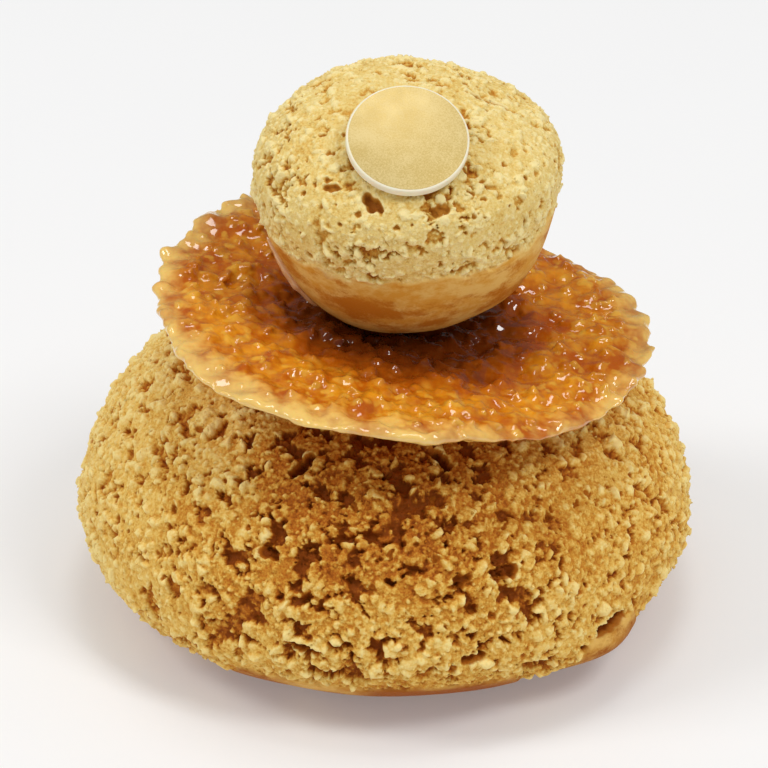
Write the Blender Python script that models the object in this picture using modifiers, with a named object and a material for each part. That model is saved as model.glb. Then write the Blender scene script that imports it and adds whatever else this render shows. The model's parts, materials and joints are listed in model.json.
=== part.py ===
"""A religieuse: a large choux under a crumbly craquelin crust, a caramel and nut tuile laid on it,
a small choux on the tuile and a gilded chocolate disc on the small choux.

Metres, +Z up. The origin is the middle of the footprint, on the surface that the pastry stands on.
-Y is the front, where the disc faces.
"""

import math

import bpy
from mathutils import Euler, Vector, noise

MM = 0.001
GAP = 0.3 * MM  # clear space between two pieces that rest on each other
MERGE = 0.01 * MM  # welding distance of the turned shapes
CRUST_STEP = 0.7 * MM  # half the height over which the crust thins out at its edge
FAR = 200 * MM  # beyond every piece

# Each choux: outline of the baked dough, then of the crust that lies on it.
LARGE_CHOUX = {
    "width": 73.4 * MM,
    "height": 36.0 * MM,
    "belly": 10.8 * MM,  # height of the widest ring
    "foot": 22.5 * MM,  # radius of the flat foot
    "dome_power": 2.12,  # superellipse exponents: 2 is an ellipse, more is squarer
    "bowl_power": 1.5,
    "crust": 0.9 * MM,  # how far the crust stands proud of the dough
    "crust_edge": 3.2 * MM,  # height at which the crust ends
    "edge_wave": 1.3 * MM,
    "sag": 0.06,  # slope of the dome's top, down towards sag_azimuth
    "sag_azimuth": 0.0,
    "lump": 0.8 * MM,
    "lump_size": 9.0 * MM,
    "seed": Vector((3.1, 7.4, 1.9)),
    "steps": 72,
    "dome_rings": 20,
    "bowl_rings": 10,
}
SMALL_CHOUX = {
    "width": 35.1 * MM,
    "height": 27.0 * MM,
    "belly": 18.3 * MM,
    "foot": 6.5 * MM,
    "dome_power": 2.0,
    "bowl_power": 2.1,
    "crust": 0.8 * MM,
    "crust_edge": 12.8 * MM,
    "edge_wave": 0.9 * MM,
    "sag": 0.15,
    "sag_azimuth": math.radians(-30),
    "lump": 0.45 * MM,
    "lump_size": 6.0 * MM,
    "seed": Vector((11.3, 2.2, 5.7)),
    "steps": 48,
    "dome_rings": 14,
    "bowl_rings": 9,
}
# The large choux has lifted off the tray at its front right: a lip of dough with a split above it.
LIP_AZIMUTH = math.radians(-32)
LIP_SPREAD = math.radians(17)
LIP_HEIGHT = 3.4 * MM
LIP_THICK = 2.2 * MM
LIP_BULGE = 2.0 * MM
SPLIT_HEIGHT = 6.6 * MM
SPLIT_WIDTH = 1.5 * MM
SPLIT_DEPTH = 1.8 * MM

# Lobes make a round piece uneven, each (share of the radius, number of them, azimuth of the first).
LARGE_LOBES = [(0.010, 1, math.radians(200)), (0.012, 2, math.radians(10)), (0.008, 3, math.radians(45))]
SMALL_LOBES = [(0.012, 2, math.radians(20)), (0.008, 3, math.radians(100))]
TUILE_LOBES = [(0.040, 1, math.radians(-120)), (0.034, 3, math.radians(-120)), (0.008, 7, math.radians(12))]

TUILE = {
    "radius": 29.5 * MM,
    "thickness": 2.0 * MM,
    "rim": 1.0 * MM,  # thickness at the edge
    "dish": 1.6 * MM,  # how far the middle lies below the rim
    "lump": 0.55 * MM,
    "lump_size": 4.2 * MM,
    "wave": 0.6 * MM,  # how far the rim rises and falls
    "ragged": 0.8 * MM,  # how far its outline goes in and out
    "rags": 7,
    "tilt": math.radians(8.0),  # the left side is up
    "place": Vector((1.4 * MM, -2.9 * MM, 0)),
    "sink": 0.8 * MM,  # how far it is pressed into the choux below,
    "seed": Vector((0.7, 4.4, 9.2)),
    "steps": 90,
    "rings": 8,
}
UNDERSIDE_LUMPS = 0.3  # share of the lumps that show underneath

SMALL_PLACE = Vector((3.4 * MM, 0, 0))
SMALL_SINK = 0.6 * MM  # how far its foot is pressed flat on the tuile
SMALL_NOD = math.radians(3)  # the small choux leans towards the front
SMALL_LEAN = math.radians(-4.5)  # and to the left

DISC_RADIUS = 7.05 * MM
DISC_THICKNESS = 1.2 * MM
DISC_EDGE = 0.25 * MM  # rounding of its edge
DISC_LEAN = math.radians(32.5)  # how far its face turns from straight up to the front
DISC_ROLL = math.radians(4.5)  # how far its right side lies lower
DISC_ASIDE = -1.4 * MM
DISC_REACH = 11.2 * MM  # distance of its centre in front of the small choux's axis

COLOURS = {  # base colour, roughness, metallic
    "large_choux": ((0.60, 0.34, 0.09, 1), 0.85, 0.0),
    "caramel_tuile": ((0.62, 0.22, 0.04, 1), 0.18, 0.0),
    "small_choux": ((0.72, 0.47, 0.14, 1), 0.8, 0.0),
    "gilded_disc": ((0.72, 0.53, 0.16, 1), 0.35, 0.3),
}


def clear_scene():
    for thing in list(bpy.data.objects):
        bpy.data.objects.remove(thing)


def smooth_step(value, low, high):
    share = min(1.0, max(0.0, (value - low) / (high - low)))
    return share * share * (3 - 2 * share)


def bell(value, middle, spread):
    return math.exp(-(((value - middle) / spread) ** 2))


def angle_between(a, b):
    return abs((a - b + math.pi) % (2 * math.pi) - math.pi)


def material(name):
    colour, roughness, metallic = COLOURS[name]
    made = bpy.data.materials.new(name)
    made.use_nodes = True
    shader = made.node_tree.nodes["Principled BSDF"]
    shader.inputs["Base Color"].default_value = colour
    shader.inputs["Roughness"].default_value = roughness
    shader.inputs["Metallic"].default_value = metallic
    return made


def turned(name, profile, steps, collection):
    """Turns a profile of (radius, height) points, listed from the top down, about the Z axis."""
    outline = bpy.data.meshes.new(name + "_outline")
    edges = [(i, i + 1) for i in range(len(profile) - 1)]
    outline.from_pydata([(radius, 0, height) for radius, height in profile], edges, [])
    helper = bpy.data.objects.new(name + "_outline", outline)
    collection.objects.link(helper)
    screw = helper.modifiers.new("turn", "SCREW")
    screw.steps = steps
    screw.render_steps = steps
    screw.use_merge_vertices = True
    screw.merge_threshold = MERGE
    graph = bpy.context.evaluated_depsgraph_get()
    mesh = bpy.data.meshes.new_from_object(helper.evaluated_get(graph))
    bpy.data.objects.remove(helper)
    mesh.name = name
    part = bpy.data.objects.new(name, mesh)
    collection.objects.link(part)
    mesh.materials.append(material(name))
    return part


def reshape(part, move):
    """Moves each vertex to move(its place)."""
    for vertex in part.data.vertices:
        vertex.co = move(vertex.co.copy())
    part.data.update()


def quarter(count, power):
    """Points of a superellipse's first quarter, from (0, 1) to (1, 0)."""
    for i in range(count + 1):
        angle = math.pi / 2 * i / count
        yield math.sin(angle) ** (2 / power), math.cos(angle) ** (2 / power)


def choux_profile(size):
    """Flat foot, bowl up to the widest ring and dome above it, listed from the top down."""
    half = size["width"] / 2
    rise = size["height"] - size["belly"]
    dome = [(half * r, size["belly"] + rise * z) for r, z in quarter(size["dome_rings"], size["dome_power"])]
    reach = half - size["foot"]
    bowl = [
        (size["foot"] + reach * r, size["belly"] * (1 - z))
        for r, z in quarter(size["bowl_rings"], size["bowl_power"])
    ]
    return dome + bowl[-2::-1] + [(0, 0)]


def edge_height(size, azimuth):
    """How high the crust ends on that side: the craquelin melted down unevenly."""
    wave = 0.6 * math.sin(2 * azimuth + 0.7) + 0.4 * math.sin(5 * azimuth + 2.1)
    return size["crust_edge"] + size["edge_wave"] * wave


def out_of_round(azimuth, lobes):
    return 1 + sum(share * math.cos(count * (azimuth - first)) for share, count, first in lobes)


def lip_and_split(azimuth, height):
    """How far the large choux stands out at its lip and goes in at the split above it."""
    side = bell(angle_between(azimuth, LIP_AZIMUTH), 0, LIP_SPREAD)
    out = LIP_BULGE * bell(height, LIP_HEIGHT, LIP_THICK)
    return side * (out - SPLIT_DEPTH * bell(height, SPLIT_HEIGHT, SPLIT_WIDTH))


def bake(part, size, lobes, torn):
    """Gives a turned choux its crust, its lumps and its unevenness. The flat foot stays flat."""

    def move(point):
        radius = math.hypot(point.x, point.y)
        azimuth = math.atan2(point.y, point.x)
        off_axis = smooth_step(radius, 0, size["foot"] / 2)
        off_foot = smooth_step(point.z, 0, 2 * MM)
        away = Vector((point.x, point.y, point.z - size["belly"])).normalized()
        edge = edge_height(size, azimuth)
        grown = size["crust"] * smooth_step(point.z, edge - CRUST_STEP, edge + CRUST_STEP)
        grown += off_foot * size["lump"] * noise.noise(point / size["lump_size"] + size["seed"])
        if torn:
            grown += off_axis * off_foot * lip_and_split(azimuth, point.z)
        wide = 1 + off_axis * (out_of_round(azimuth, lobes) - 1)
        slope = size["sag"] * smooth_step(point.z, size["belly"], size["height"])
        drop = slope * radius * math.cos(azimuth - size["sag_azimuth"])
        moved = Vector((point.x * wide, point.y * wide, point.z - drop)) + away * grown
        moved.z = max(moved.z, 0) if point.z > MERGE else 0
        return moved

    reshape(part, move)


def make_large_choux(collection):
    part = turned("large_choux", choux_profile(LARGE_CHOUX), LARGE_CHOUX["steps"], collection)
    bake(part, LARGE_CHOUX, LARGE_LOBES, torn=True)
    return part


def make_small_choux(collection):
    part = turned("small_choux", choux_profile(SMALL_CHOUX), SMALL_CHOUX["steps"], collection)
    bake(part, SMALL_CHOUX, SMALL_LOBES, torn=False)
    return part


def tuile_middle(share):
    """Height of the middle of the sheet at a share of the tuile's radius."""
    return -TUILE["dish"] * (1 - smooth_step(share, 0.15, 0.95))


def tuile_half(share):
    """Half the thickness of the sheet, which thins out towards the rim."""
    return (TUILE["thickness"] + (TUILE["rim"] - TUILE["thickness"]) * share**3) / 2


def tuile_profile():
    """A thin dish, listed from the middle of its top, out round the rim and back underneath."""
    radius = TUILE["radius"]
    count = TUILE["rings"]
    shares = [math.sin(math.pi / 2 * i / count) for i in range(count)]
    top = [(radius * share, tuile_middle(share) + tuile_half(share)) for share in shares]
    edge = [(radius, tuile_half(1) / 2), (radius, -tuile_half(1) / 2)]
    under = [(radius * share, tuile_middle(share) - tuile_half(share)) for share in reversed(shares)]
    return top + edge + under


def make_tuile(collection):
    part = turned("caramel_tuile", tuile_profile(), TUILE["steps"], collection)

    def move(point):
        flat = Vector((point.x, point.y, 0))
        azimuth = math.atan2(point.y, point.x)
        share = min(1, flat.length / TUILE["radius"])
        wide = 1 + share * (out_of_round(azimuth, TUILE_LOBES) - 1)
        ragged = TUILE["ragged"] * share**4 * noise.noise(flat.normalized() * TUILE["rags"] + TUILE["seed"])
        rolling = TUILE["wave"] * share**2 * (math.sin(3 * azimuth + 0.8) + 0.5 * math.sin(5 * azimuth + 2.6))
        lump = TUILE["lump"] * (1 - share**6) * noise.noise(flat / TUILE["lump_size"] + TUILE["seed"])
        if point.z < tuile_middle(share):
            lump *= UNDERSIDE_LUMPS
        return flat * wide + flat.normalized() * ragged + Vector((0, 0, point.z + rolling + lump))

    reshape(part, move)
    return part


def make_disc(collection):
    """The chocolate disc: a low cylinder with rounded edges."""
    bpy.ops.mesh.primitive_cylinder_add(vertices=48, radius=DISC_RADIUS, depth=DISC_THICKNESS)
    part = bpy.context.active_object
    part.name = "gilded_disc"
    for owner in list(part.users_collection):
        owner.objects.unlink(part)
    collection.objects.link(part)
    part.data.materials.append(material("gilded_disc"))
    rounding = part.modifiers.new("edge", "BEVEL")
    rounding.width = DISC_EDGE
    rounding.segments = 2
    rounding.limit_method = "ANGLE"
    return part


def world_points(part):
    graph = bpy.context.evaluated_depsgraph_get()
    shown = part.evaluated_get(graph)
    return [shown.matrix_world @ vertex.co for vertex in shown.data.vertices]


def heights_over(part, other, way):
    """How far other's surface lies up (way 1) or down (way -1) from each vertex of part that faces it."""
    to_other = other.matrix_world.inverted()
    up = to_other.to_3x3() @ Vector((0, 0, way))
    for point in world_points(part):
        hit, place, _, _ = other.ray_cast(to_other @ point, up)
        if hit:
            yield abs((other.matrix_world @ place).z - point.z)


def settle(part, below, sink=0):
    """Lowers a piece that hovers over another until the two are GAP apart, and then by sink."""
    bpy.context.view_layer.update()
    room = min([*heights_over(part, below, -1), *heights_over(below, part, 1)])
    part.location.z -= room - GAP + sink
    bpy.context.view_layer.update()


def press(soft, hard, way):
    """Flattens soft where hard, which lies above it (way 1) or below it (way -1), is pressed into it."""
    to_hard = hard.matrix_world.inverted()
    to_soft = soft.matrix_world.inverted()
    towards = Vector((0, 0, way))
    for vertex in soft.data.vertices:
        point = soft.matrix_world @ vertex.co
        hit, place, _, _ = hard.ray_cast(to_hard @ (point - towards * FAR), to_hard.to_3x3() @ towards)
        limit = (hard.matrix_world @ place).z - way * GAP
        if hit and way * (point.z - limit) > 0:
            vertex.co = to_soft @ Vector((point.x, point.y, limit))
    soft.data.update()


def centre_on_origin(parts):
    """Shifts the whole stack so that its box is centred over the origin."""
    bpy.context.view_layer.update()
    points = [point for part in parts for point in world_points(part)]
    middle = Vector(
        (
            (min(p.x for p in points) + max(p.x for p in points)) / 2,
            (min(p.y for p in points) + max(p.y for p in points)) / 2,
            0,
        )
    )
    for part in parts:
        part.location -= middle


def main():
    clear_scene()
    collection = bpy.data.collections.new("religieuse")
    bpy.context.scene.collection.children.link(collection)

    large = make_large_choux(collection)
    tuile = make_tuile(collection)
    tuile.rotation_euler = Euler((0, TUILE["tilt"], 0))
    tuile.location = TUILE["place"] + Vector((0, 0, 2 * LARGE_CHOUX["height"]))
    settle(tuile, large, TUILE["sink"])
    press(large, tuile, 1)

    small = make_small_choux(collection)
    small.rotation_euler = Euler((SMALL_NOD, SMALL_LEAN, 0))
    small.location = SMALL_PLACE + Vector((0, 0, 3 * LARGE_CHOUX["height"]))
    settle(small, tuile, SMALL_SINK)
    press(small, tuile, -1)

    disc = make_disc(collection)
    disc.rotation_euler = Euler((DISC_LEAN, DISC_ROLL, 0))
    disc.location = SMALL_PLACE + Vector((DISC_ASIDE, -DISC_REACH, 4 * LARGE_CHOUX["height"]))
    settle(disc, small)

    centre_on_origin([large, tuile, small, disc])


main()
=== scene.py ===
# Religieuse: a large crumbly choux, a caramel nut tuile, a small choux and a gilded disc,
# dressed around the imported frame.
import json
import math
import random
import time

import bmesh
import bpy
import numpy as np
from mathutils import Euler, Matrix, Vector, noise
from mathutils.bvhtree import BVHTree

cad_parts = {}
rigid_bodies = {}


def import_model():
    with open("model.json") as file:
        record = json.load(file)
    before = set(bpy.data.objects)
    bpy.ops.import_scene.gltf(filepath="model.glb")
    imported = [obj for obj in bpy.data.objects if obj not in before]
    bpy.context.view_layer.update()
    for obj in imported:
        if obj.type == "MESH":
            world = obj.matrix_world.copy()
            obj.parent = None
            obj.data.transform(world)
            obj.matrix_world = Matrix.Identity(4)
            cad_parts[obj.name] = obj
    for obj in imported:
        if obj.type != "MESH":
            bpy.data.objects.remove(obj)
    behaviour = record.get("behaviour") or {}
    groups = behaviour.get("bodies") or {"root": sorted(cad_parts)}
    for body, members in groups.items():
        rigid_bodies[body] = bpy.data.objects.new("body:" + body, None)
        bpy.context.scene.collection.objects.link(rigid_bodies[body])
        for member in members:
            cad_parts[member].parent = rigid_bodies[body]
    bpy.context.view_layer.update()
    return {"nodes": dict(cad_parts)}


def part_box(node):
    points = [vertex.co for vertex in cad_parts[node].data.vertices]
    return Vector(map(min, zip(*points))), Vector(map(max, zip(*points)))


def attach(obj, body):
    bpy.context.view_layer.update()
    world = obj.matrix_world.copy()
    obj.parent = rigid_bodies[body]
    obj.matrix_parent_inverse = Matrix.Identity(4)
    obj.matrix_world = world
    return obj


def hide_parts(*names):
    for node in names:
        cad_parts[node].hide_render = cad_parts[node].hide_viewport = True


began = time.time()
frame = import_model()
mm = 0.001
front = math.radians(-90)  # azimuth of the side that the disc faces
print("frame loaded")


view = {
    "target": Vector((0, 0, 28 * mm)),
    "distance": 480 * mm,
    "elevation": math.radians(30),
    "lens": 186.3,
}


def placeCamera():
    data = bpy.data.cameras.new("camera")
    data.lens = view["lens"]
    data.clip_start = 10 * mm
    camera = bpy.data.objects.new("camera", data)
    bpy.context.scene.collection.objects.link(camera)
    back = Vector((0, -math.cos(view["elevation"]), math.sin(view["elevation"])))
    camera.location = view["target"] + back * view["distance"]
    camera.rotation_euler = Euler((math.pi / 2 - view["elevation"], 0, 0))
    bpy.context.scene.camera = camera
    bpy.context.scene.view_settings.view_transform = "Standard"


light = {
    "lamps": [  # name, where it comes from, watts
        ("keyLamp", Vector((0.50, -0.40, 0.90)), 4.2),
        ("leftLamp", Vector((-0.75, -0.15, 0.85)), 3.7),
        ("topLamp", Vector((0.05, 0.12, 1.00)), 2.3),
    ],
    "far": 1.2,  # metres from the middle
    "side": 0.34,  # of each square lamp, in metres
    "sky": 0.55,
    "mirrored": 0.18,  # share of the sky that shows in reflections
}


def placeLamps():
    for name, whence, watts in light["lamps"]:
        data = bpy.data.lights.new(name, "AREA")
        data.energy = watts
        data.size = light["side"]
        lamp = bpy.data.objects.new(name, data)
        bpy.context.scene.collection.objects.link(lamp)
        lamp.location = view["target"] + whence.normalized() * light["far"]
        lamp.rotation_euler = whence.to_track_quat("Z", "Y").to_euler()


def placeSky():
    world = bpy.data.worlds.new("world")
    bpy.context.scene.world = world
    world.use_nodes = True
    mirrored = Graph(world.node_tree).add("ShaderNodeLightPath", out="Is Glossy Ray")
    strength = mirrored * (light["mirrored"] - 1) * light["sky"] + light["sky"]
    sky = world.node_tree.nodes["Background"]
    sky.inputs["Color"].default_value = rgb(1, 1, 1)
    world.node_tree.links.new(strength.socket, sky.inputs["Strength"])


class Wire:
    # a node's output, in which sums can be written
    def __init__(self, graph, socket):
        self.graph = graph
        self.socket = socket

    def other(self, name):
        # another output of the same node
        return Wire(self.graph, self.socket.node.outputs[name])

    def sum(self, operation, first, second):
        return self.graph.add("ShaderNodeMath", {"operation": operation}, {0: first, 1: second})

    def __add__(self, other):
        return self.sum("ADD", self, other)

    def __radd__(self, other):
        return self.sum("ADD", other, self)

    def __sub__(self, other):
        return self.sum("SUBTRACT", self, other)

    def __rsub__(self, other):
        return self.sum("SUBTRACT", other, self)

    def __mul__(self, other):
        return self.sum("MULTIPLY", self, other)

    def __rmul__(self, other):
        return self.sum("MULTIPLY", other, self)


class Graph:
    # a node tree, to which nodes are added with their settings and sockets
    def __init__(self, tree):
        self.tree = tree

    def add(self, kind, settings=None, sockets=None, out=0):
        node = self.tree.nodes.new(kind)
        for name, value in (settings or {}).items():
            if name == "stops":
                for _ in value[2:]:
                    node.color_ramp.elements.new(0.5)
                for element, (place, colour) in zip(node.color_ramp.elements, value):
                    element.position = place
                    element.color = colour
            else:
                setattr(node, name, value)
        for name, value in (sockets or {}).items():
            if isinstance(value, Wire):
                self.tree.links.new(value.socket, node.inputs[name])
            else:
                node.inputs[name].default_value = value
        return Wire(self, node.outputs[out]) if node.outputs else None

    def place(self):
        return self.add("ShaderNodeTexCoord", out="Object")

    def noise(self, size, detail, roughness, stretch=None):
        place = self.place()
        if stretch:
            place = self.add("ShaderNodeMapping", None, {"Vector": place, "Scale": stretch})
        sockets = {"Vector": place, "Scale": 1 / size, "Detail": detail, "Roughness": roughness}
        return self.add("ShaderNodeTexNoise", None, sockets)

    def step(self, value, low, high, bottom=0.0, top=1.0):
        sockets = {"Value": value, "From Min": low, "From Max": high}
        sockets.update({"To Min": bottom, "To Max": top})
        return self.add("ShaderNodeMapRange", {"interpolation_type": "SMOOTHSTEP"}, sockets)

    def mix(self, share, first, second):
        settings = {"data_type": "RGBA", "clamp_factor": True}
        return self.add("ShaderNodeMix", settings, {0: share, 6: first, 7: second}, out=2)

    def bump(self, height, distance, strength):
        sockets = {"Height": height, "Distance": distance, "Strength": strength}
        return self.add("ShaderNodeBump", None, sockets)

    def attribute(self, name):
        return self.add("ShaderNodeAttribute", {"attribute_name": name}, out="Fac")


def newMaterial(name, constants, build):
    # build(graph) gives the sockets that vary over the surface
    made = bpy.data.materials.new(name)
    made.use_nodes = True
    made.node_tree.nodes.clear()
    graph = Graph(made.node_tree)
    shader = graph.add("ShaderNodeBsdfPrincipled", None, {**constants, **build(graph)})
    graph.add("ShaderNodeOutputMaterial", None, {"Surface": shader})
    return made


def rgb(red, green, blue):
    return (red, green, blue, 1.0)


def smoothStep(value, low, high):
    share = min(1.0, max(0.0, (value - low) / (high - low)))
    return share * share * (3 - 2 * share)


def turnBetween(first, second):
    return (first - second + math.pi) % (2 * math.pi) - math.pi


def only(kind, geometry):
    return [part for part in geometry if isinstance(part, kind)]


def bevelled(bm, edges, offset, segments):
    settings = {"profile": 0.5, "affect": "EDGES", "material": -1}
    bmesh.ops.bevel(bm, geom=edges, offset=offset, segments=segments, **settings)


def newPiece(name, bm, shelf=None):
    # an object in the scene, or on a shelf of shapes to strew
    mesh = bpy.data.meshes.new(name)
    bm.to_mesh(mesh)
    bm.free()
    piece = bpy.data.objects.new(name, mesh)
    home = bpy.context.scene.collection if shelf is None else shelf
    home.objects.link(piece)
    return piece


def copied(piece, name):
    twin = bpy.data.objects.new(name, piece.data.copy())
    bpy.context.scene.collection.objects.link(twin)
    return twin


def joined(name, parts):
    bm = bmesh.new()
    for part in parts:
        bm.from_mesh(part.data)
    return newPiece(name, bm)


def drop(*things):
    for thing in things:
        if isinstance(thing, bpy.types.Collection):
            drop(*thing.objects)
            bpy.data.collections.remove(thing)
        else:
            mesh = thing.data
            bpy.data.objects.remove(thing)
            bpy.data.meshes.remove(mesh)


def nodeMesh(node):
    # the CAD node's surface as one welded mesh
    bm = bmesh.new()
    bm.from_mesh(frame["nodes"][node].data)
    bmesh.ops.remove_doubles(bm, verts=bm.verts, dist=0.005 * mm)
    return bm


def searchTree(bm):
    # the surface for nearest points and rays; the bmesh is used up
    tree = BVHTree.FromBMesh(bm)
    bm.free()
    return tree


def meshTree(mesh):
    bm = bmesh.new()
    bm.from_mesh(mesh)
    return searchTree(bm)


def applyModifiers(piece):
    graph = bpy.context.evaluated_depsgraph_get()
    mesh = bpy.data.meshes.new_from_object(piece.evaluated_get(graph))
    old = piece.data
    piece.modifiers.clear()
    piece.data = mesh
    bpy.data.meshes.remove(old)
    mesh.name = piece.name


def refined(node, name, levels, calm=0):
    # a copy of a CAD node with its facets rounded, and its bumps calmed first, but not its foot
    piece = newPiece(name, nodeMesh(node))
    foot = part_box(node)[0].z + 0.3 * mm
    free = piece.vertex_groups.new(name="free")
    free.add([vertex.index for vertex in piece.data.vertices if vertex.co.z > foot], 1.0, "REPLACE")
    smooth = piece.modifiers.new("calm", "SMOOTH")
    smooth.factor = 0.5
    smooth.iterations = calm
    smooth.vertex_group = "free"
    subdivision = piece.modifiers.new("rounding", "SUBSURF")
    subdivision.levels = levels
    subdivision.render_levels = levels
    applyModifiers(piece)
    return piece


def addRemesh(piece, voxel):
    remesh = piece.modifiers.new("remesh", "REMESH")
    remesh.mode = "VOXEL"
    remesh.voxel_size = voxel


def triangles(mesh):
    return sum(len(face.vertices) - 2 for face in mesh.polygons)


def thinTo(piece, most):
    count = triangles(piece.data)
    if count > most:
        decimate = piece.modifiers.new("thin", "DECIMATE")
        decimate.ratio = most / count
        applyModifiers(piece)


def setValues(piece, name, values):
    attribute = piece.data.attributes.new(name, "FLOAT", "POINT")
    attribute.data.foreach_set("value", np.asarray(values, dtype=np.float32))


def readPoints(mesh, what):
    # the vertices' "co" or "normal", one to a row
    flat = np.empty(len(mesh.vertices) * 3, dtype=np.float32)
    mesh.vertices.foreach_get(what, flat)
    return flat.reshape(-1, 3)


def movePoints(mesh, spots):
    mesh.vertices.foreach_set("co", np.asarray(spots, dtype=np.float32).ravel())
    mesh.update()


def blurred(mesh, values, rounds):
    # each value averaged with its neighbours', several times
    ends = np.empty(len(mesh.edges) * 2, dtype=np.int32)
    mesh.edges.foreach_get("vertices", ends)
    first, second = ends.reshape(-1, 2).T
    count = np.bincount(ends, minlength=len(values)) + 1
    for _ in range(rounds):
        total = values + np.bincount(first, values[second], len(values))
        total += np.bincount(second, values[first], len(values))
        values = total / count
    return values


def blurredNormals(mesh, rounds):
    normals = readPoints(mesh, "normal")
    normals = np.stack([blurred(mesh, normals[:, axis], rounds) for axis in range(3)], axis=1)
    return normals / np.linalg.norm(normals, axis=1)[:, None]


def scatter(piece, shelf, kind, seed):
    # puts the shelf's shapes in the place of the piece: their number follows the attribute named by
    # where, their size follows the attribute "size", and each has a tint by chance
    tree = bpy.data.node_groups.new("scatter", "GeometryNodeTree")
    tree.interface.new_socket("Geometry", in_out="INPUT", socket_type="NodeSocketGeometry")
    tree.interface.new_socket("Geometry", in_out="OUTPUT", socket_type="NodeSocketGeometry")
    graph = Graph(tree)
    base = graph.add("NodeGroupInput")

    def named(name):
        return graph.add("GeometryNodeInputNamedAttribute", {"data_type": "FLOAT"}, {"Name": name})

    def chance(low, high, number, values="FLOAT"):
        first, out = (2, 1) if values == "FLOAT" else (0, 0)
        sockets = {first: low, first + 1: high, "Seed": seed + number}
        return graph.add("FunctionNodeRandomValue", {"data_type": values}, sockets, out=out)

    density = named(kind["where"]) * (kind["amount"] / mm**2)
    sockets = {"Mesh": base, "Density": density, "Seed": seed}
    settings = {"distribute_method": "RANDOM"}
    points = graph.add("GeometryNodeDistributePointsOnFaces", settings, sockets)
    out = points.other("Normal")
    facing = points.other("Rotation")
    low, high = kind["rise"]
    sockets = {0: out, "Scale": chance(low, high, 1)}
    shift = graph.add("ShaderNodeVectorMath", {"operation": "SCALE"}, sockets)
    points = graph.add("GeometryNodeSetPosition", None, {"Geometry": points, "Offset": shift})
    low, high = kind["radius"]
    luck = chance(0.0, 1.0, 2)
    size = (luck * luck * (high - low) + low) * named("size")
    size = graph.add("ShaderNodeCombineXYZ", None, {0: size, 1: size, 2: size * kind["flat"]})
    tilt = kind["tilt"]
    turn = chance((-tilt, -tilt, 0), (tilt, tilt, 2 * math.pi), 3, "FLOAT_VECTOR")
    turn = graph.add("FunctionNodeEulerToRotation", None, {0: turn})
    settings = {"rotation_space": "LOCAL"}
    spin = graph.add("FunctionNodeRotateRotation", settings, {0: facing, 1: turn})
    sockets = {"Collection": shelf, "Separate Children": True, "Reset Children": True}
    shapes = graph.add("GeometryNodeCollectionInfo", None, sockets)
    sockets = {"Points": points, "Instance": shapes, "Pick Instance": True}
    sockets.update({"Rotation": spin, "Scale": size})
    grains = graph.add("GeometryNodeInstanceOnPoints", None, sockets)
    sockets = {"Geometry": grains, "Name": "tint", "Value": chance(0, 1, 4)}
    settings = {"data_type": "FLOAT", "domain": "INSTANCE"}
    grains = graph.add("GeometryNodeStoreNamedAttribute", settings, sockets)
    grains = graph.add("GeometryNodeRealizeInstances", None, {"Geometry": grains})
    graph.add("NodeGroupOutput", None, {0: grains})
    piece.modifiers.new("scatter", "NODES").node_group = tree


def strewn(piece, name, shelf, kind, seed):
    # shapes from the shelf strewn over the piece, as a mesh of their own
    bits = copied(piece, name)
    scatter(bits, shelf, kind, seed)
    applyModifiers(bits)
    return bits


def quarters(piece, name):
    # the piece cut in four round the vertical axis, each quarter closed at its cuts
    made = []
    for number, (across, along) in enumerate([(1, 1), (-1, 1), (-1, -1), (1, -1)]):
        bm = bmesh.new()
        bm.from_mesh(piece.data)
        for normal in [(across, 0, 0), (0, along, 0)]:
            every = bm.verts[:] + bm.edges[:] + bm.faces[:]
            plane = {"plane_co": (0, 0, 0), "plane_no": normal}
            cut = bmesh.ops.bisect_plane(bm, geom=every, clear_inner=True, **plane)
            rim = only(bmesh.types.BMEdge, cut["geom_cut"])
            bmesh.ops.triangle_fill(bm, edges=rim, use_beauty=False, use_dissolve=False)
            for edge in rim:
                if edge.is_valid:
                    edge.smooth = False
        made.append(newPiece(f"{name}{number}", bm))
    return made


def dress(piece, material, node):
    piece.data.materials.clear()
    piece.data.materials.append(material)
    piece.data.shade_smooth()
    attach(piece, "root")
    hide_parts(node)
    print(piece.name, triangles(piece.data), "triangles")


crumb = {"kinds": 10, "rounding": 1, "jitter": 0.42}  # jitter: how uneven each one is


def crumbShapes(name, seed):
    # a few unlike crumbs of radius 1
    chance = random.Random(seed)
    shelf = bpy.data.collections.new(name)
    for i in range(crumb["kinds"]):
        bm = bmesh.new()
        bmesh.ops.create_icosphere(bm, subdivisions=crumb["rounding"], radius=1)
        for vertex in bm.verts:
            vertex.co *= 1 + chance.uniform(-crumb["jitter"], crumb["jitter"])
        newPiece(f"{name}{i}", bm, shelf)
    return shelf


def evenSkin(look, name):
    # the CAD node's rounded surface in small even facets
    skin = refined(look["node"], name, look["rounding"], look["calm"])
    addRemesh(skin, look["spacing"])
    applyModifiers(skin)
    print(name, triangles(skin.data), "triangles")
    return skin


def pushLip(spots, lip):
    # the dough stands out in a lip at one place
    azimuths = np.arctan2(spots[:, 1], spots[:, 0]) - lip["azimuth"]
    aside = np.arctan2(np.sin(azimuths), np.cos(azimuths)) / lip["spread"]
    above = (spots[:, 2] - lip["height"]) / lip["thick"]
    out = lip["out"] * np.exp(-(aside**2) - above**2)
    radii = np.hypot(spots[:, 0], spots[:, 1])
    pushed = spots.copy()
    pushed[:, :2] *= (1 + out / np.maximum(radii, 1 * mm))[:, None]
    return pushed


def edgeHeight(look, azimuth):
    wave = 0.6 * math.sin(2 * azimuth + 0.7) + 0.4 * math.sin(5 * azimuth + 2.1)
    return look["edge"] + look["edgeWave"] * wave


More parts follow.
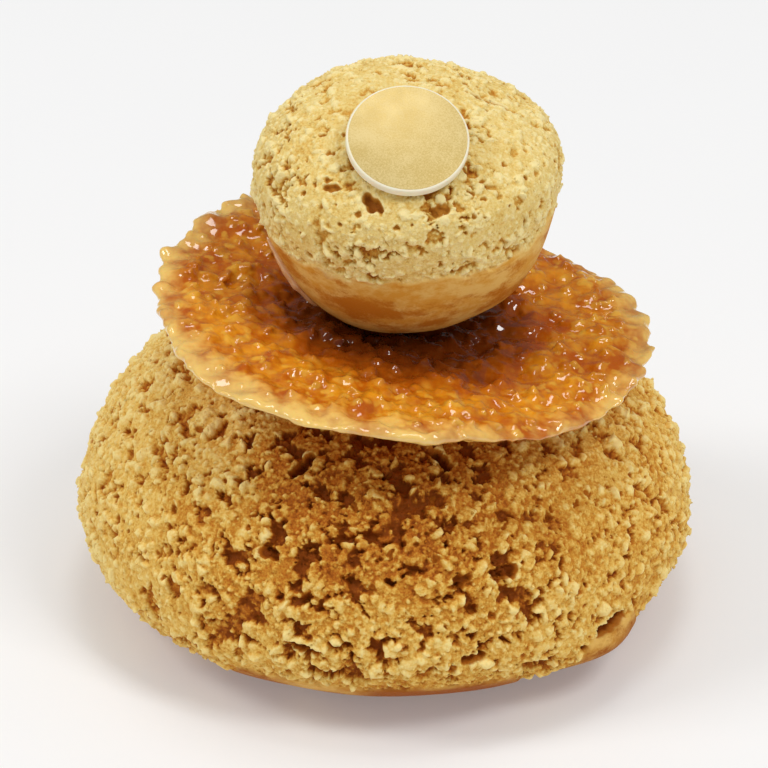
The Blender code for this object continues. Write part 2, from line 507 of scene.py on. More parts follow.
def bedDepth(place, look, rough):
    # how deep the bed lies under the plates
    whole, torn = look["bed"]
    uneven = 0.8 + 0.9 * noise.noise(place / (1.7 * mm) + look["seed"], noise_basis="PERLIN_NEW")
    return whole + torn * rough * uneven


def brokenSheet(look, spots, roughs):
    # 1 on the plates of the crust, 0 where they have burst apart
    plates = look["plates"]
    waves = []
    for spot in spots:
        place = Vector(spot) / plates["size"] + look["seed"]
        waves.append(noise.fractal(place, 0.65, 2.2, 4, noise_basis="PERLIN_NEW"))
    ranks = np.array(waves).argsort().argsort() / len(waves)
    whole, torn = plates["gone"]
    shares = whole + (torn - whole) * roughs
    return np.clip((ranks - shares) / plates["bank"] + 0.5, 0, 1)


def laidBed(look, spots, covered, broken):
    # for each vertex its share of crust, how broken that is, and the height of its bed or plate
    crusts, roughs, heights = [], [], []
    for spot in spots:
        place = Vector(spot)
        crust = covered(place)
        rough = broken(place) if crust else 0.0
        crusts.append(crust)
        roughs.append(rough)
        heights.append(-bedDepth(place, look, rough) * crust if crust else 0.0)
    crusts, roughs, heights = (np.array(values) for values in (crusts, roughs, heights))
    return crusts, roughs, heights * (1 - brokenSheet(look, spots, roughs))


def drapedOver(bits, spots, normals, heights, wanted):
    # heights raised to where the bits stand above them, and the tint of the bit on each vertex
    tree = meshTree(bits.data)
    tint = np.empty(len(bits.data.vertices), dtype=np.float32)
    bits.data.attributes["tint"].data.foreach_get("value", tint)
    starts = np.empty(len(bits.data.polygons), dtype=np.int32)
    bits.data.polygons.foreach_get("loop_start", starts)
    corners = np.empty(len(bits.data.loops), dtype=np.int32)
    bits.data.loops.foreach_get("vertex_index", corners)
    faceTint = tint[corners[starts]]
    reach = 4 * mm
    raised = heights.copy()
    tints = np.full(len(heights), 0.5)
    for i in np.flatnonzero(wanted > 0.02):
        normal = Vector(normals[i])
        start = Vector(spots[i]) + normal * reach
        hit, _, face, distance = tree.ray_cast(start, -normal, 2 * reach)
        if hit is not None and reach - distance > heights[i]:
            raised[i] = reach - distance
            tints[i] = faceTint[face]
    return heights + (raised - heights) * wanted, tints


def crumbled(skin, look, shelf, spots, normals, heights, crusts):
    # crumbs strewn on the bed, and the skin draped over them
    name = skin.name
    bed = copied(skin, name + "Bed")
    movePoints(bed.data, spots + normals * heights[:, None])
    strewings = []
    for i, kind in enumerate(look["crumbs"]):
        strewings.append(strewn(bed, f"{name}Crumbs{i}", shelf, kind, look["chance"] + 50 * i))
    crumbs = joined(name + "Crumbs", strewings)
    heights, tints = drapedOver(crumbs, spots, normals, heights, crusts)
    drop(bed, crumbs, *strewings)
    return heights, tints


def pitDepth(place, look):
    # round pits strewn by chance, one at most in a cell
    near, centres = noise.voronoi(place / look["pitCell"] + look["seed"] * 3)
    luck = 0.5 + 0.5 * noise.cell(centres[0] * 7.3)
    if luck > look["pitShare"]:
        return 0.0
    radius = look["pitRadius"] * (0.6 + luck / look["pitShare"])
    ragged = 1.1 * noise.noise(place / (0.55 * mm))
    return look["pitDepth"] * smoothStep(1.1 - near[0] * look["pitCell"] / radius + ragged, 0, 0.8)


def settledHoles(mesh, look):
    # the named holes, moved on to the surface
    tree = meshTree(mesh)
    holes = []
    for centre, axis, *sizes in look["holes"]:
        nearest = tree.find_nearest(Vector(centre) * mm)[0]
        holes.append((nearest / mm, Vector(axis).normalized(), *sizes))
    return holes


def holeDepth(place, holes):
    deepest = 0.0
    for centre, axis, length, width, depth in holes:
        offset = place / mm - centre
        if offset.length > length + 1:
            continue
        along = offset.dot(axis)
        across = math.sqrt(max(0.0, offset.length_squared - along**2))
        ragged = 0.5 * noise.noise(place / (0.8 * mm))
        inside = 1 - math.hypot(along / length, across / width) + ragged
        deepest = max(deepest, depth * mm * smoothStep(inside, -0.1, 0.35))
    return deepest


def piercedDepths(mesh, look, spots, crusts):
    # how deep the pits and the named holes go at each vertex, but not under the foot
    holes = settledHoles(mesh, look)
    pierced = np.zeros(len(spots))
    for i in np.flatnonzero(spots[:, 2] > 1 * mm):
        place = Vector(spots[i])
        pit = pitDepth(place, look) * crusts[i] if crusts[i] else 0.0
        pierced[i] = max(pit, holeDepth(place, holes))
    return pierced


def measured(values, crusts):
    # values in units of their spread on the crust
    return values / values[crusts > 0.5].std()


def bakeCrust(name, look, covered, broken, toastedAndShaded):
    # the CAD shape with its crust broken and crumbled, and the values that its material reads
    start = time.time()
    skin = evenSkin(look, name)
    mesh = skin.data
    spots = readPoints(mesh, "co")
    if "lip" in look:
        spots = pushLip(spots, look["lip"])
        movePoints(mesh, spots)
    normals = blurredNormals(mesh, 8)
    crusts, roughs, heights = laidBed(look, spots, covered, broken)
    print(name, "bed laid", round(time.time() - start, 1), "s")

    setValues(skin, "crust", crusts)
    setValues(skin, "loose", crusts * (look["loose"] + (1 - look["loose"]) * roughs))
    setValues(skin, "size", [0.95 + 0.4 * noise.noise(Vector(spot) / (2.5 * mm)) for spot in spots])
    shelf = crumbShapes(name + "Crumb", look["chance"])
    heights, tints = crumbled(skin, look, shelf, spots, normals, heights, crusts)
    soft = blurred(mesh, heights, 3)
    heights = heights + (soft - heights) * (0.08 + 0.92 * look["melted"] * (1 - roughs))
    print(name, "crumbs draped", round(time.time() - start, 1), "s")

    pierced = piercedDepths(mesh, look, spots, crusts)
    heights = heights - pierced - look["sunk"] * crusts
    spots = spots + normals * heights[:, None]
    spots[:, 2] = np.maximum(spots[:, 2], 0)
    movePoints(mesh, spots)
    setValues(skin, "small", measured(heights - blurred(mesh, heights, 8), crusts))
    setValues(skin, "deep", measured(heights - heights[crusts > 0.5].mean(), crusts))
    setValues(skin, "pierced", pierced / mm)
    setValues(skin, "tint", tints)
    # browning, which on the large choux holds painted shade under the tuile too
    setValues(skin, "toast", [toastedAndShaded(Vector(spot)) for spot in spots])
    thinTo(skin, look["most"])
    grains = strewn(skin, name + "Grains", shelf, look["grains"], look["chance"] + 400)
    drop(shelf)
    print(name, "done", round(time.time() - start, 1), "s")
    return skin, grains


pattern = {  # sizes of the patterns on both choux
    "speckle": 0.32 * mm,
    "cloud": 1.4 * mm,
    "streak": 3.4 * mm,
    "blotch": 6 * mm,
    "relief": 0.15 * mm,
}


def crustMaterial(name, tones):
    def build(graph):
        toast = graph.attribute("toast")
        crust = graph.attribute("crust")
        speckle = graph.noise(pattern["speckle"], 3, 0.65)
        cloud = graph.noise(pattern["cloud"], 3, 0.6)
        # the level is a place on the run of colours from deep to pale
        level = graph.attribute("deep") * tones["height"]
        level = level + graph.attribute("small") * tones["small"]
        level = level + (speckle - 0.5) * tones["speckle"] + (cloud - 0.5) * 0.6
        level = level + (graph.attribute("tint") - 0.5) * 0.22
        # browning darkens the colour; on the large choux this holds painted shade under the tuile
        level = level - toast * tones["toast"] + tones["level"]
        stops = [(0.0, tones["deep"]), (0.22, tones["torn"]), (0.42, tones["ochre"])]
        stops += [(0.62, tones["top"]), (0.95, tones["pale"])]
        baked = graph.add("ShaderNodeValToRGB", {"stops": stops}, {"Fac": level})
        streak = graph.noise(pattern["streak"], 5, 0.7, stretch=(1, 1, 1.8))
        blotch = graph.noise(pattern["blotch"], 3, 0.6, stretch=(1, 1, 2.0))
        blotch = blotch + (speckle - 0.5) * 0.25
        dough = graph.mix(graph.step(streak, 0.38, 0.62), tones["doughPale"], tones["dough"])
        dough = graph.mix(graph.step(blotch, 0.46, 0.66), dough, tones["doughBrown"])
        # the dough browns with it too, painted shade included
        dough = graph.mix(graph.step(toast, 0.35, 0.75), dough, tones["doughBrown"])
        colour = graph.mix(crust, dough, baked)
        pierced = graph.attribute("pierced")
        colour = graph.mix(graph.step(pierced, 0.1, 0.45) * 0.8, colour, tones["torn"])
        colour = graph.mix(graph.step(pierced, 0.8, 1.5), colour, tones["deep"])
        roughness = graph.step(speckle, 0.3, 0.7, 0.5, 0.75)
        sockets = {"Scale": 1 / tones["grain"], "Vector": graph.place()}
        cells = graph.add("ShaderNodeTexVoronoi", None, sockets)
        height = (graph.noise(tones["grain"], 4, 0.65) - cells * 0.5) * (crust * 0.8 + 0.2)
        bumps = graph.bump(height, pattern["relief"], 0.8)
        return {"Base Color": colour, "Roughness": roughness, "Normal": bumps}

    constants = {
        "IOR": 1.4,
        "Specular IOR Level": 0.15,
        "Subsurface Weight": 0.05,
        "Subsurface Radius": (1.0, 0.5, 0.2),
        "Subsurface Scale": 0.8 * mm,
    }
    return newMaterial(name, constants, build)


def makeChoux(name, look, tones, covered, broken, toastedAndShaded):
    skin, grains = bakeCrust(name, look, covered, broken, toastedAndShaded)
    baked = crustMaterial(name, tones)
    for part in quarters(skin, name):
        dress(part, baked, look["node"])
    dress(grains, baked, look["node"])
    drop(skin)


largeChoux = {
    "node": "large_choux",
    "rounding": 3,
    "calm": 5,
    "spacing": 0.2 * mm,  # between the skin's vertices
    "most": 740000,  # triangles in all four quarters
    "bed": (0.45 * mm, 0.85 * mm),  # its depth where the crust is whole, and what tearing adds
    "sunk": 0.35 * mm,  # how far the finished crust is taken in
    "plates": {
        "size": 3.3 * mm,
        "gone": (0.08, 0.44),  # share burst away, where the crust is whole and where it is torn
        "bank": 0.08,  # how soft their edges are
    },
    "crumbs": [
        {
            "where": "crust",
            "amount": 0.85,  # on each square millimetre
            "radius": (0.45 * mm, 1.10 * mm),
            "flat": 0.66,
            "rise": (-0.40 * mm, 0.06 * mm),
            "tilt": 0.7,
        },
        {
            "where": "loose",
            "amount": 4.2,
            "radius": (0.18 * mm, 0.42 * mm),
            "flat": 0.85,
            "rise": (-0.10 * mm, 0.12 * mm),
            "tilt": 3.1,
        },
    ],
    "grains": {
        "where": "crust",
        "amount": 0.60,
        "radius": (0.10 * mm, 0.24 * mm),
        "flat": 0.85,
        "rise": (-0.07 * mm, 0.06 * mm),
        "tilt": 3.1,
    },
    "loose": 0.1,  # share of the loose crumbs that lie on unbroken crust
    "melted": 0.45,  # how far the unbroken crust has run together
    "edge": 3.6 * mm,  # height at which the crust ends
    "edgeWave": 1.2 * mm,
    "pitCell": 1.9 * mm,
    "pitShare": 0.75,  # of the cells that have a pit
    "pitRadius": 0.38 * mm,
    "pitDepth": 0.6 * mm,
    "holes": [  # centre, long axis, half length, half width and depth, in millimetres
        ((8.9, -33.4, 21.1), (1.0, 0.25, 0.10), 1.4, 0.85, 1.3),
        ((14.2, -31.6, 21.2), (0.9, 0.40, 0.20), 1.7, 0.95, 1.5),
        ((-13.3, -30.4, 23.3), (0.9, -0.40, -0.10), 1.5, 0.90, 1.4),
        ((-9.4, -35.2, 13.0), (4.0, -1.20, -0.60), 2.3, 0.55, 1.4),
        ((10.5, -35.8, 11.8), (1.0, 0.30, 0.05), 1.8, 0.60, 1.3),
        ((-9.7, -23.2, 30.6), (1.0, 0.70, 0.50), 2.3, 0.75, 2.2),
        ((6.6, -22.4, 31.2), (1.0, -0.80, -0.60), 1.8, 0.75, 2.2),
        ((28.0, -26.8, 10.4), (5.1, 5.70, 0.60), 3.6, 0.80, 2.0),
        ((24.0, 24.0, 24.0), (-1.0, 1.0, 0.30), 1.8, 0.80, 1.4),
        ((-22.0, 26.0, 22.0), (1.0, 0.80, -0.20), 1.6, 0.70, 1.3),
        ((3.0, 35.0, 17.0), (-1.0, 0.10, 0.20), 2.2, 0.60, 1.3),
    ],
    "bare": [  # where the dough shows higher: azimuth, half width, height
        (math.radians(-43), math.radians(13), 10.0 * mm),
        (math.radians(-92), math.radians(34), 7.2 * mm),
    ],
    "lip": {
        "azimuth": math.radians(-43),
        "spread": 0.21,
        "height": 6.8 * mm,
        "thick": 2.5 * mm,
        "out": 2.9 * mm,
    },
    "torn": {"azimuth": front + math.radians(-6), "spread": 0.62, "patch": 13 * mm},
    "brownedAndShaded": {"spread": 0.75, "paleSpread": 0.8, "patch": 8 * mm},
    "seed": Vector((2.7, 8.1, 4.6)),
    "chance": 11,
}

largeTones = {
    "level": 0.68,  # where plain crust lies on the run of colours from deep to pale
    "height": 0.15,  # what height, small bumps, speckles, and browning with painted shade do to that
    "small": 0.09,
    "speckle": 0.80,
    "toast": 0.47,
    "grain": 0.4 * mm,
    "top": rgb(0.80, 0.50, 0.11),
    "pale": rgb(0.93, 0.72, 0.28),
    "ochre": rgb(0.63, 0.29, 0.035),
    "torn": rgb(0.48, 0.145, 0.011),
    "deep": rgb(0.26, 0.058, 0.004),
    "dough": rgb(0.56, 0.25, 0.035),
    "doughBrown": rgb(0.34, 0.09, 0.007),
    "doughPale": rgb(0.74, 0.44, 0.11),
}


def largeCovered(place):
    # 1 on the crust, 0 on the band of dough below it and on the lip under the split
    if place.z < 1 * mm:
        return 0.0
    azimuth = math.atan2(place.y, place.x)
    edge = edgeHeight(largeChoux, azimuth)
    for middle, spread, height in largeChoux["bare"]:
        inside = smoothStep(spread - abs(turnBetween(azimuth, middle)), 0, math.radians(8))
        edge += inside * (height - edge)
    edge += 0.5 * mm * noise.noise(place / (1.6 * mm))
    return smoothStep(place.z, edge - 0.5 * mm, edge + 0.5 * mm)


def largeBroken(place):
    # 0 where the crust is one merged sheet, 1 where it has burst apart
    torn = largeChoux["torn"]
    aside = turnBetween(math.atan2(place.y, place.x), torn["azimuth"])
    middle = math.exp(-((aside / torn["spread"]) ** 2))
    patch = noise.noise(place / torn["patch"] + largeChoux["seed"])
    high = smoothStep(place.z, 4 * mm, 16 * mm)
    return min(1.0, max(0.15, 0.3 + 0.68 * middle * (0.55 + 0.45 * high) + 0.5 * patch))


def largeToastedAndShaded(place):
    # how brown the crust is painted, in patches: most under the tuile's front, partly as painted
    # shade of the tuile; more towards the bottom, less on the left
    brownedAndShaded = largeChoux["brownedAndShaded"]
    azimuth = math.atan2(place.y, place.x)
    # under the tuile's front: real browning, and painted shade of the tuile
    under = math.exp(-((turnBetween(azimuth, front) / brownedAndShaded["spread"]) ** 2))
    under *= smoothStep(place.z, 9 * mm, 28 * mm)
    left = math.exp(-((turnBetween(azimuth, math.pi) / brownedAndShaded["paleSpread"]) ** 2))
    patch = noise.fractal(place / brownedAndShaded["patch"] + largeChoux["seed"], 1.0, 2.0, 2)
    # darker towards the bottom
    low = 0.5 * smoothStep(place.z, 11 * mm, 4 * mm)
    return min(1.0, max(0.0, 0.25 + 0.85 * under + low - 0.3 * left + 0.3 * patch))


smallChoux = {
    "node": "small_choux",
    "rounding": 3,
    "calm": 4,
    "spacing": 0.15 * mm,
    "most": 380000,
    "bed": (0.30 * mm, 0.40 * mm),
    "sunk": 0.2 * mm,
    "plates": {"size": 2.3 * mm, "gone": (0.05, 0.36), "bank": 0.08},
    "crumbs": [
        {
            "where": "crust",
            "amount": 1.5,
            "radius": (0.30 * mm, 0.90 * mm),
            "flat": 0.5,
            "rise": (-0.28 * mm, -0.02 * mm),
            "tilt": 0.5,
        },
        {
            "where": "loose",
            "amount": 3.6,
            "radius": (0.14 * mm, 0.34 * mm),
            "flat": 0.8,
            "rise": (-0.12 * mm, 0.05 * mm),
            "tilt": 3.1,
        },
    ],
    "grains": {
        "where": "crust",
        "amount": 1.0,
        "radius": (0.08 * mm, 0.18 * mm),
        "flat": 0.85,
        "rise": (-0.06 * mm, 0.04 * mm),
        "tilt": 3.1,
    },
    "loose": 0.4,
    "melted": 0.8,
    "edge": 12.8 * mm,  # height above its own foot
    "edgeWave": 0.9 * mm,
    "pitCell": 1.9 * mm,
    "pitShare": 0.6,
    "pitRadius": 0.34 * mm,
    "pitDepth": 0.5 * mm,
    "holes": [
        ((-1.4, -16.3, 61.2), (0.6, -0.3, -0.8), 1.9, 1.0, 1.3),
        ((6.3, -16.8, 60.5), (1.0, 0.1, 0.1), 1.5, 0.9, 0.9),
        ((12.5, 0.8, 65.6), (1.0, -0.15, -0.40), 3.6, 0.45, 0.9),
        ((-6.0, -14.0, 62.0), (1.0, -0.4, 0.0), 1.3, 0.5, 0.8),
        ((-2.5, 15.0, 60.0), (1.0, 0.2, 0.3), 1.6, 0.6, 0.9),
    ],
    "tornPatch": 7 * mm,
    "brownPatch": 6 * mm,
    "foot": 39.3 * mm,  # height of its foot
    "lean": Euler((math.radians(3), math.radians(-4.5), 0)),
    "seed": Vector((6.4, 1.3, 9.9)),
    "chance": 23,
}

smallTones = {
    "level": 0.74,
    "height": 0.15,
    "small": 0.09,
    "speckle": 0.85,
    "toast": 0.35,
    "grain": 0.22 * mm,
    "top": rgb(0.79, 0.56, 0.17),
    "pale": rgb(0.91, 0.75, 0.35),
    "ochre": rgb(0.66, 0.37, 0.07),
    "torn": rgb(0.56, 0.24, 0.028),
    "deep": rgb(0.36, 0.11, 0.012),
    "dough": rgb(0.68, 0.33, 0.045),
    "doughBrown": rgb(0.52, 0.18, 0.014),
    "doughPale": rgb(0.78, 0.50, 0.14),
}

smallMiddle = sum(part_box(smallChoux["node"]), Vector()) / 2


def onSmall(place):
    # the place as seen from the small choux's own foot
    foot = Vector((smallMiddle.x, smallMiddle.y, smallChoux["foot"]))
    return smallChoux["lean"].to_matrix().inverted() @ (place - foot)


def smallCovered(place):
    own = onSmall(place)
    azimuth = math.atan2(own.y, own.x)
    edge = edgeHeight(smallChoux, azimuth) + 1.0 * mm * noise.noise(place / (1.8 * mm))
    return smoothStep(own.z, edge - 0.4 * mm, edge + 0.4 * mm)


def smallBroken(place):
    patch = noise.noise(place / smallChoux["tornPatch"] + smallChoux["seed"])
    return min(1.0, max(0.1, 0.4 + 0.9 * patch))


def smallToasted(place):
    patch = noise.fractal(place / smallChoux["brownPatch"] + smallChoux["seed"], 1.0, 2.0, 2)
    return min(1.0, max(0.0, 0.15 + 0.35 * patch))


tuile = {
    "node": "caramel_tuile",
    "rounding": 2,
    "radius": 29.5 * mm,
    "lump": 3.0 * mm,
    "lumpHeight": 0.85 * mm,
    "rags": 2.6 * mm,  # size of the notches in its rim
    "ragDepth": 0.5 * mm,
    "nutKinds": 8,
    "nuts": {
        "where": "density",
        "amount": 0.80,
        "radius": (0.5 * mm, 1.7 * mm),
        "flat": 0.8,
        "rise": (-0.45 * mm, 0.25 * mm),
        "tilt": 0.7,
    },
    "voxel": 0.24 * mm,
    "smoothing": 9,
    "most": 196000,
    "seed": Vector((1.9, 3.3, 7.2)),
    "chance": 37,
}

caramelTones = {
    "nutDark": rgb(0.60, 0.19, 0.006),
    "nutPale": rgb(0.82, 0.46, 0.05),
    "amberDark": rgb(0.48, 0.10, 0.002),
    "amberPale": rgb(0.74, 0.28, 0.010),
    # darker in hollows: thicker caramel, and painted shade
    "hollow": rgb(0.36, 0.06, 0.001),
    "raised": rgb(0.88, 0.58, 0.12),
    # painted shade round and under the small choux: the tuile's middle darkened to near black
    "inner": rgb(0.42, 0.075, 0.001),
    "innermostShade": rgb(0.13, 0.020, 0.001),
    "rim": rgb(0.86, 0.60, 0.18),
}


def nutShapes():
    # chopped nuts: skewed blocks with their corners taken off, about 1 in radius
    chance = random.Random(tuile["chance"])
    shelf = bpy.data.collections.new("nuts")
    for i in range(tuile["nutKinds"]):
        bm = bmesh.new()
        bmesh.ops.create_cube(bm, size=1.25)
        stretch = (chance.uniform(0.8, 1.3), chance.uniform(0.6, 1.0), 0.62)
        bmesh.ops.scale(bm, vec=stretch, verts=bm.verts)
        for vertex in bm.verts:
            vertex.co += Vector([chance.uniform(-0.2, 0.2) for _ in range(3)])
        bevelled(bm, bm.edges, 0.2, 1)
        bmesh.ops.triangulate(bm, faces=bm.faces)
        newPiece(f"nut{i}", bm, shelf)
    return shelf


def rimShare(place, middle):
    # 0 in the tuile's middle, 1 at its rim
    return math.hypot(place.x - middle.x, place.y - middle.y) / tuile["radius"]


def lumpyBase(middle):
    # the tuile's solid with lumps and a ragged rim, and the values that strew its nuts
    base = refined(tuile["node"], "tuileBase", tuile["rounding"])
    density, size, lumpy = [], [], []
    for vertex in base.data.vertices:
        place = vertex.co
        upper = smoothStep(vertex.normal.z, -0.3, 0.4)
        inner = 1 - smoothStep(rimShare(place, middle), 0.86, 0.97)
        density.append((0.1 + 0.9 * upper) * (0.2 + 0.8 * inner))
        size.append((0.85 + 0.3 * noise.noise(place / (5 * mm))) * (0.6 + 0.4 * inner))
        lump = noise.fractal(place / tuile["lump"] + tuile["seed"], 0.8, 2.0, 3)
        lumpy.append(place + vertex.normal * (tuile["lumpHeight"] * lump * (0.3 + 0.7 * upper)))
    setValues(base, "density", density)
    setValues(base, "size", size)
    for vertex, place in zip(base.data.vertices, lumpy):
        outward = Vector((place.x - middle.x, place.y - middle.y, 0)).normalized()
        ragged = noise.fractal(place / tuile["rags"] + tuile["seed"], 0.8, 2.0, 2) + 0.2
        rim = smoothStep(rimShare(place, middle), 0.88, 1.0)
        vertex.co = place + outward * (ragged * rim * tuile["ragDepth"])
    return base


def fused(name, parts, voxel, smoothing):
    # melts the parts into one skin
    piece = joined(name, parts)
    addRemesh(piece, voxel)
    smooth = piece.modifiers.new("smooth", "SMOOTH")
    smooth.factor = 0.5
    smooth.iterations = smoothing
    applyModifiers(piece)
    print(name, "fused to", triangles(piece.data), "triangles")
    return piece


def nearestTints(piece, bits, reach):
    # for each vertex the tint of the nearest bit, and how far away that is
    bm = bmesh.new()
    bm.from_mesh(bits.data)
    layer = bm.verts.layers.float["tint"]
    tree = BVHTree.FromBMesh(bm)
    bm.faces.ensure_lookup_table()
    tints, gaps = [], []
    for vertex in piece.data.vertices:
        _, _, face, distance = tree.find_nearest(vertex.co, reach)
        tints.append(0.5 if face is None else bm.faces[face].verts[0][layer])
        gaps.append(reach if face is None else distance)
    bm.free()
    return np.array(tints), np.array(gaps)


def depthOver(piece, tree, reach):
    # how far each vertex stands out of the tree's surface, below 0 where it lies inside
    values = []
    for vertex in piece.data.vertices:
        place, normal, _, _ = tree.find_nearest(vertex.co, reach)
        values.append(-reach if place is None else (vertex.co - place).dot(normal))
    return np.array(values)


def makeTuile():
    middle = sum(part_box(tuile["node"]), Vector()) / 2
    base = lumpyBase(middle)
    shelf = nutShapes()
    nuts = strewn(base, "nutBits", shelf, tuile["nuts"], tuile["chance"])
    piece = fused("tuile", [base, nuts], tuile["voxel"], tuile["smoothing"])
    thinTo(piece, tuile["most"])
    tints, gaps = nearestTints(piece, nuts, 1.5 * mm)
    depth = depthOver(piece, searchTree(nodeMesh(tuile["node"])), 4 * mm)
    setValues(piece, "tint", blurred(piece.data, tints, 1))
    setValues(piece, "gap", gaps / mm)
    setValues(piece, "cavity", (depth - blurred(piece.data, depth, 8)) / mm)
    setValues(piece, "rim", [rimShare(vertex.co, middle) for vertex in piece.data.vertices])
    drop(base, nuts, shelf)
    dress(piece, caramelMaterial(), tuile["node"])


def caramelMaterial():
    tones = caramelTones

    def build(graph):
        cavity = graph.attribute("cavity")
        cloud = graph.noise(3.5 * mm, 3, 0.6)
        fine = graph.noise(0.9 * mm, 2, 0.5)
        outward = graph.attribute("rim") + (cloud - 0.5) * 0.3
        paler = graph.step(graph.attribute("tint"), 0.15, 0.9)
        nut = graph.mix(paler, tones["nutDark"], tones["nutPale"])
        amber = graph.mix(graph.step(cloud, 0.35, 0.65), tones["amberDark"], tones["amberPale"])
        colour = graph.mix(graph.step(graph.attribute("gap"), 0.25, 0.0) * 0.65, amber, nut)
        # hollows darkened: thicker caramel there, and painted shade
        colour = graph.mix(graph.step(cavity, -0.02, -0.30), colour, tones["hollow"])
        colour = graph.mix(graph.step(cavity, 0.06, 0.35) * 0.6, colour, tones["raised"])
        # painted shade of the small choux: the middle of the tuile darkened to near black
        colour = graph.mix(graph.step(outward, 0.74, 0.48) * 0.9, colour, tones["inner"])
        colour = graph.mix(graph.step(outward, 0.58, 0.36), colour, tones["innermostShade"])
        colour = graph.mix(graph.step(outward, 0.84, 1.04) * 0.85, colour, tones["rim"])
        roughness = graph.step(fine, 0.3, 0.7, 0.2, 0.35)
        bumps = graph.bump(fine, 0.12 * mm, 0.8)
        return {"Base Color": colour, "Roughness": roughness, "Normal": bumps}

    constants = {
        "IOR": 1.5,
        "Specular IOR Level": 0.05,
        "Coat Weight": 1.0,
        "Coat Roughness": 0.03,
        "Coat IOR": 1.65,
        "Subsurface Weight": 0.1,
        "Subsurface Radius": (1.0, 0.35, 0.08),
        "Subsurface Scale": 1.2 * mm,
    }
    return newMaterial("caramel", constants, build)


thread = {  # a dribble of caramel up the small choux
    "azimuth": math.radians(-152),
    "veer": math.radians(-14),  # how far round it leads
    "outside": 20 * mm,  # from here the side of the choux is looked for
    "low": 42.0 * mm,
    "high": 50.5 * mm,
    "radius": 0.5 * mm,
    "steps": 28,
    "sides": 14,
    "dark": rgb(0.62, 0.26, 0.07),
    "pale": rgb(0.84, 0.56, 0.30),
}


def threadSpine():
    # points up the side of the small choux
    tree = searchTree(nodeMesh(smallChoux["node"]))
    spine = []
    for i in range(thread["steps"] + 1):
        share = i / thread["steps"]
        azimuth = thread["azimuth"] + thread["veer"] * share
        height = thread["low"] + (thread["high"] - thread["low"]) * share
        outward = Vector((math.cos(azimuth), math.sin(azimuth), 0))
        start = Vector((smallMiddle.x, smallMiddle.y, height)) + outward * thread["outside"]
        spine.append(tree.ray_cast(start, -outward)[0])
    return spine


def makeThread():
    # a circle extruded from point to point of the spine
    spine = threadSpine()
    bm = bmesh.new()
    upright = Matrix.Rotation(math.radians(-90), 4, "Z")
    bmesh.ops.create_circle(bm, cap_ends=True, radius=1, segments=thread["sides"], matrix=upright)
    end = bm.verts[:] + bm.edges[:] + bm.faces[:]
    before = Matrix()
    for i, middle in enumerate(spine):
        if i:
            end = bmesh.ops.extrude_face_region(bm, geom=end)["geom"]
        along = spine[min(i + 1, thread["steps"])] - spine[max(i - 1, 0)]
        swell = math.sin(math.pi * (i + 0.5) / (thread["steps"] + 1)) ** 0.6
        radius = thread["radius"] * swell * (1 + 0.35 * noise.noise(middle / (1.3 * mm)))
        turn = along.to_track_quat("Z", "Y")
        place = Matrix.LocRotScale(middle, turn, Vector((radius, radius, radius)))
        ring = only(bmesh.types.BMVert, end)
        bmesh.ops.transform(bm, matrix=place @ before.inverted(), verts=ring)
        before = place
    bmesh.ops.recalc_face_normals(bm, faces=bm.faces)
    dress(newPiece("caramelThread", bm), threadMaterial(), tuile["node"])


def threadMaterial():
    def build(graph):
        cloud = graph.noise(1.5 * mm, 2, 0.5)
        return {"Base Color": graph.mix(cloud, thread["dark"], thread["pale"])}

    constants = {"Roughness": 0.3, "Coat Weight": 1.0, "Coat Roughness": 0.03, "Coat IOR": 1.75}
    return newMaterial("caramelThread", constants, build)


disc = {
    "node": "gilded_disc",
    "lean": Euler((math.radians(32.5), math.radians(4.5), 0)),
    "radius": 7.05 * mm,
    "thickness": 1.2 * mm,
    "rounding": 0.22 * mm,
    "steps": 128,
    "gold": 6.8 * mm,  # radius of the gilding
    "goldDeep": 0.02 * mm,
    "goldRounding": 0.03 * mm,
    "goldDark": rgb(0.58, 0.41, 0.12),
    "goldPale": rgb(0.72, 0.56, 0.24),
    "cream": rgb(0.90, 0.85, 0.68),
    "creamDark": rgb(0.84, 0.74, 0.50),
}


def discPart(name, radius, bottom, top, rounding):
    bm = bmesh.new()
    circle = bmesh.ops.create_circle(bm, cap_ends=True, radius=radius, segments=disc["steps"])
    bmesh.ops.translate(bm, vec=(0, 0, bottom), verts=circle["verts"])
    side = bmesh.ops.extrude_face_region(bm, geom=bm.faces[:])
    bmesh.ops.translate(bm, vec=(0, 0, top - bottom), verts=only(bmesh.types.BMVert, side["geom"]))
    bmesh.ops.recalc_face_normals(bm, faces=bm.faces)
    rims = [edge for edge in bm.edges if abs(edge.verts[0].co.z - edge.verts[1].co.z) < 1e-9]
    bevelled(bm, rims, rounding, 4)
    turn = disc["lean"].to_matrix().to_4x4()
    turn.translation = sum(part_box(disc["node"]), Vector()) / 2
    bmesh.ops.transform(bm, matrix=turn, verts=bm.verts)
    return newPiece(name, bm)


def makeDisc():
    half = disc["thickness"] / 2
    body = discPart("discBody", disc["radius"], -half, half - disc["goldDeep"], disc["rounding"])
    dress(body, chocolateMaterial(), disc["node"])
    top = half + disc["goldDeep"]
    gilding = discPart("discGilding", disc["gold"], 0, top, disc["goldRounding"])
    dress(gilding, goldMaterial(), disc["node"])


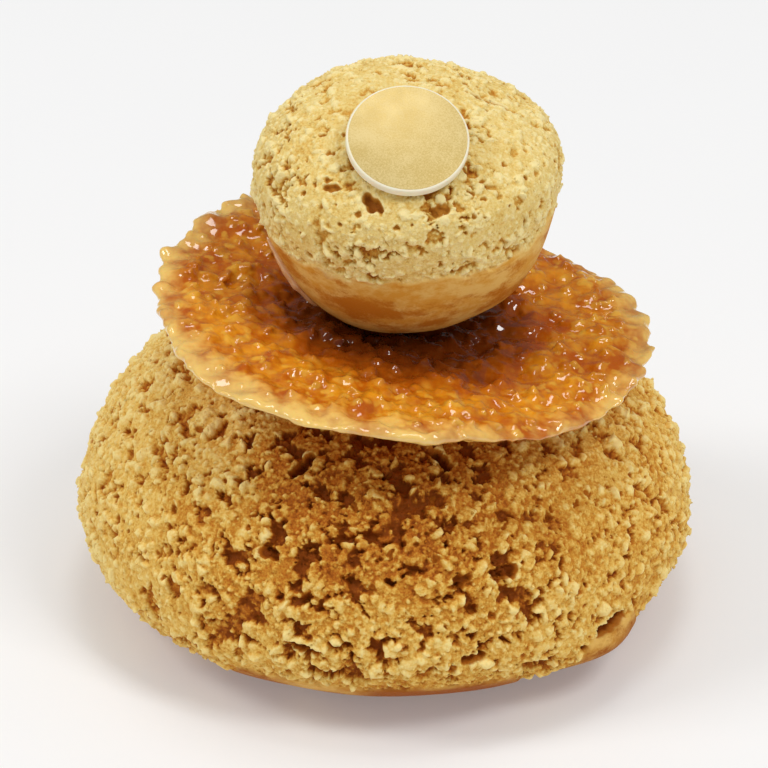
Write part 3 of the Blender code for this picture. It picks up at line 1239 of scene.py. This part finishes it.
def chocolateMaterial():
    def build(graph):
        fine = graph.noise(0.5 * mm, 3, 0.5)
        colour = graph.mix(graph.noise(2 * mm, 2, 0.5), disc["cream"], disc["creamDark"])
        roughness = graph.step(fine, 0.3, 0.7, 0.3, 0.45)
        bumps = graph.bump(fine, 0.02 * mm, 0.5)
        return {"Base Color": colour, "Roughness": roughness, "Normal": bumps}

    constants = {"IOR": 1.45, "Subsurface Weight": 0.1, "Subsurface Scale": 0.5 * mm}
    return newMaterial("whiteChocolate", constants, build)


def goldMaterial():
    def build(graph):
        fine = graph.noise(0.18 * mm, 4, 0.7)
        cloud = graph.noise(3 * mm, 2, 0.5)
        share = graph.step(fine + (cloud - 0.5) * 0.4, 0.35, 0.65)
        colour = graph.mix(share, disc["goldDark"], disc["goldPale"])
        roughness = graph.step(fine, 0.3, 0.7, 0.3, 0.5)
        bumps = graph.bump(fine, 0.01 * mm, 0.5)
        return {"Base Color": colour, "Roughness": roughness, "Normal": bumps}

    return newMaterial("gilding", {"Metallic": 0.35, "IOR": 1.5}, build)


ground = {
    "half": 2.5,  # metres
    "dark": rgb(0.72, 0.72, 0.72),
    "pale": rgb(0.74, 0.74, 0.74),
    "glow": 0.17,
}


def makeFloor():
    bm = bmesh.new()
    bmesh.ops.create_grid(bm, x_segments=1, y_segments=1, size=ground["half"])
    floor = newPiece("floor", bm)
    floor.data.materials.append(floorMaterial())


def floorMaterial():
    def build(graph):
        cloud = graph.noise(60 * mm, 2, 0.5)
        return {"Base Color": graph.mix(cloud, ground["dark"], ground["pale"])}

    glow = {"Emission Color": rgb(1, 1, 1), "Emission Strength": ground["glow"]}
    constants = {"Roughness": 0.6, **glow}
    return newMaterial("paleFloor", constants, build)


placeCamera()
placeLamps()
placeSky()
makeFloor()
print("stage set")
makeChoux("largeChoux", largeChoux, largeTones, largeCovered, largeBroken, largeToastedAndShaded)
makeChoux("smallChoux", smallChoux, smallTones, smallCovered, smallBroken, smallToasted)
makeTuile()
makeThread()
makeDisc()
print("pieces made", round(time.time() - began, 1), "s")
